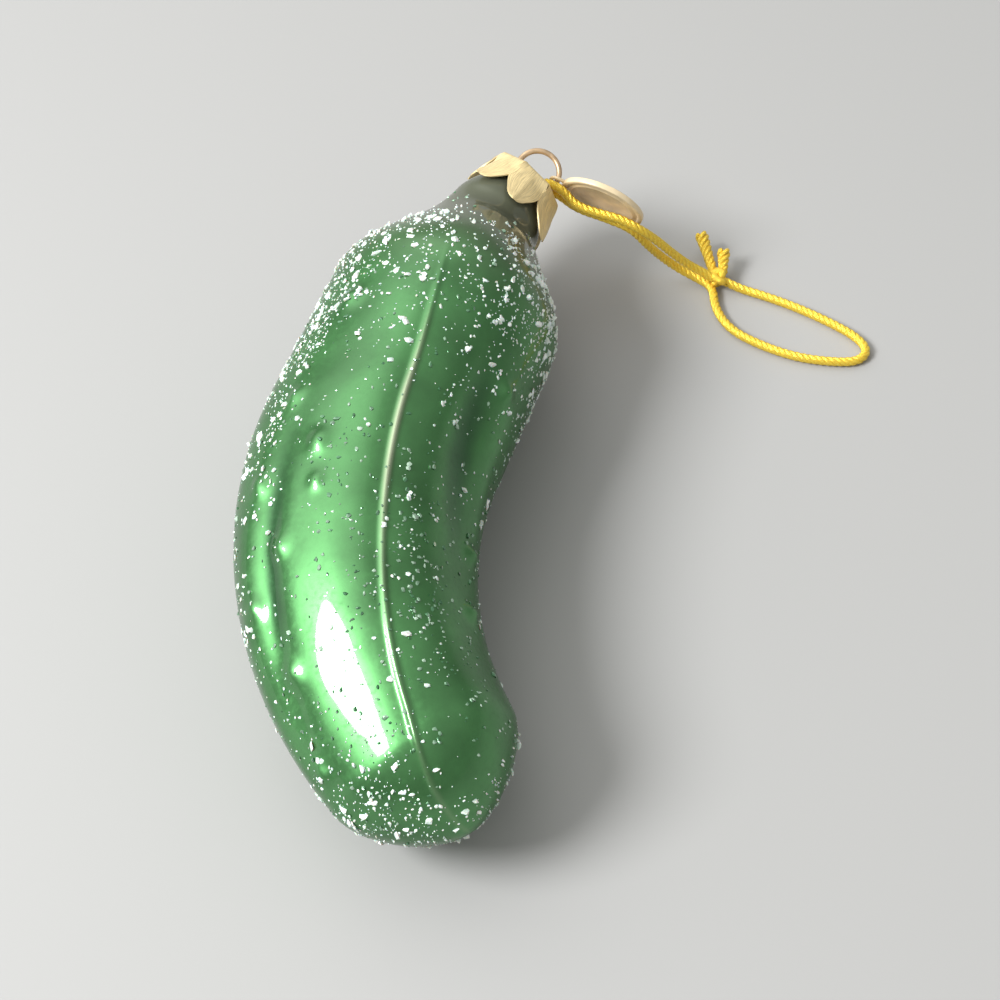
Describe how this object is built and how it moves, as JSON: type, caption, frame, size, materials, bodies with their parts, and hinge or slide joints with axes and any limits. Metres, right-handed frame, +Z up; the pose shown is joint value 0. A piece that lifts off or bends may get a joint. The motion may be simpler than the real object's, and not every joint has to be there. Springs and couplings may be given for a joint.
{
  "type": "pickle ornament",
  "caption": "Hollow glass pickle ornament with a petalled metal cap, a wire hanger loop, a blank round tag and a knotted cord for hanging it up.",
  "frame": {"origin": "centre of the box of the ornament without its cord, on the floor it lies on", "axes": "+Z up as the ornament lies on its side, +Y from the blossom end to the cap end, +X to the concave side of its bend"},
  "size_m": [0.0832, 0.0956, 0.0299],
  "materials": {
    "silvered_glass": "green lacquer over silvered glass, gloss, with white glass grains",
    "cap_metal": "bright gold",
    "petal_metal": "matte pale gold with fine veins",
    "wire_metal": "pale copper gold",
    "tag_metal": "dull beige gold",
    "gold_cord": "twisted metallic yarn"
  },
  "bodies": {
    "glass": {"glass_body": "silvered_glass"},
    "cap": {"cap_cup": "cap_metal", "petal_rosette": "petal_metal"},
    "hanger": {"hanger_wire": "wire_metal"},
    "tag": {"hang_tag": "tag_metal"},
    "cord": {"hanging_cord": "gold_cord", "cord_knot": "gold_cord", "cord_tail_long": "gold_cord", "cord_tail_short": "gold_cord"}
  },
  "joints": [
    {"name": "cap_turn", "type": "hinge", "parent": "glass", "child": "cap", "pos_m": [0.01236, 0.04379, 0.01655], "axis": [0.7212, 0.6608, 0.2079], "continuous": true},
    {"name": "hanger_draw", "type": "slide", "parent": "cap", "child": "hanger", "axis": [0.7212, 0.6608, 0.2079], "range_m": [0, 0.008]},
    {"name": "tag_swing", "type": "hinge", "parent": "hanger", "child": "tag", "pos_m": [0.01594, 0.04368, 0.01595], "axis": [0.4759, 0.819, 0.3207], "range_deg": [-60, 70]},
    {"name": "cord_swing", "type": "hinge", "parent": "hanger", "child": "cord", "pos_m": [0.01516, 0.04283, 0.01566], "axis": [-0.4759, -0.819, -0.3207], "range_deg": [0, 60]}
  ]
}
